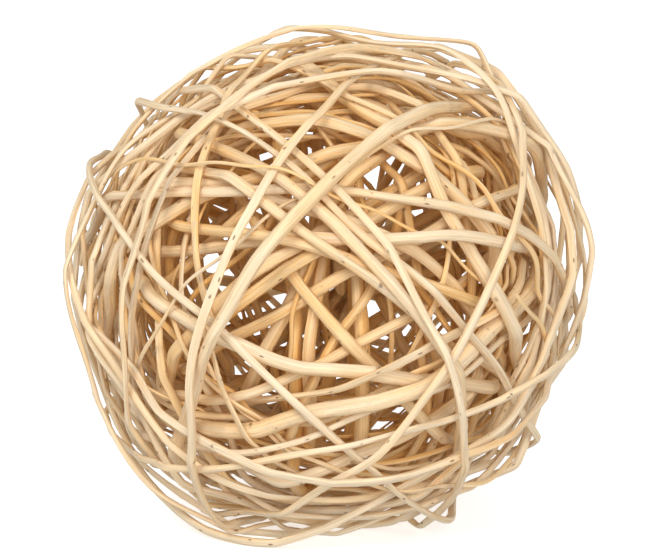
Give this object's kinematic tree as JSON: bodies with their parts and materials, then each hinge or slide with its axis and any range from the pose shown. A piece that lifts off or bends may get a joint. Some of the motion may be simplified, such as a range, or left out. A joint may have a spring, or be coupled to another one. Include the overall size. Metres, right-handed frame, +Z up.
{
  "type": "decorative sphere",
  "caption": "Hollow decorative ball woven at random from peeled willow rods, thick ones inside and thin ones outside, with a small flat spot under it.",
  "frame": {"origin": "on the surface that the ball rests on, under the middle of its bounding box", "axes": "+Z up; the face of the weave looks along -Y, leaning up a little; +X is to the right of that face"},
  "size_m": [0.1998, 0.1858, 0.1932],
  "materials": {
    "willow_core": "satin",
    "willow_wrap": "satin"
  },
  "bodies": {
    "root": {"core_rod_01": "willow_core", "core_rod_02": "willow_core", "core_rod_03": "willow_core", "core_rod_04": "willow_core", "core_rod_05": "willow_core", "core_rod_06": "willow_core", "core_rod_07": "willow_core", "core_rod_08": "willow_core", "core_rod_09": "willow_core", "core_rod_10": "willow_core", "core_rod_11": "willow_core", "core_rod_12": "willow_core", "core_rod_13": "willow_core", "core_rod_14": "willow_core", "core_rod_15": "willow_core", "core_rod_16": "willow_core", "core_rod_17": "willow_core", "core_rod_18": "willow_core", "core_rod_19": "willow_core", "core_rod_20": "willow_core", "core_rod_21": "willow_core", "core_rod_22": "willow_core", "core_rod_23": "willow_core", "core_rod_24": "willow_core", "core_rod_25": "willow_core", "core_rod_26": "willow_core", "core_rod_27": "willow_core", "core_rod_28": "willow_core", "core_rod_29": "willow_core", "core_rod_30": "willow_core", "wrap_rod_01": "willow_wrap", "wrap_rod_02": "willow_wrap", "wrap_rod_03": "willow_wrap", "wrap_rod_04": "willow_wrap", "wrap_rod_05": "willow_wrap", "wrap_rod_06": "willow_wrap", "wrap_rod_07": "willow_wrap", "wrap_rod_08": "willow_wrap", "wrap_rod_09": "willow_wrap", "wrap_rod_10": "willow_wrap", "wrap_rod_11": "willow_wrap", "wrap_rod_12": "willow_wrap", "wrap_rod_13": "willow_wrap", "wrap_rod_14": "willow_wrap", "wrap_rod_15": "willow_wrap", "wrap_rod_16": "willow_wrap", "wrap_rod_17": "willow_wrap", "wrap_rod_18": "willow_wrap", "wrap_rod_19": "willow_wrap", "wrap_rod_20": "willow_wrap", "wrap_rod_21": "willow_wrap", "wrap_rod_22": "willow_wrap", "wrap_rod_23": "willow_wrap", "wrap_rod_24": "willow_wrap", "wrap_rod_25": "willow_wrap", "wrap_rod_26": "willow_wrap", "wrap_rod_27": "willow_wrap", "wrap_rod_28": "willow_wrap", "wrap_rod_29": "willow_wrap", "wrap_rod_30": "willow_wrap"}
  },
  "joints": []
}
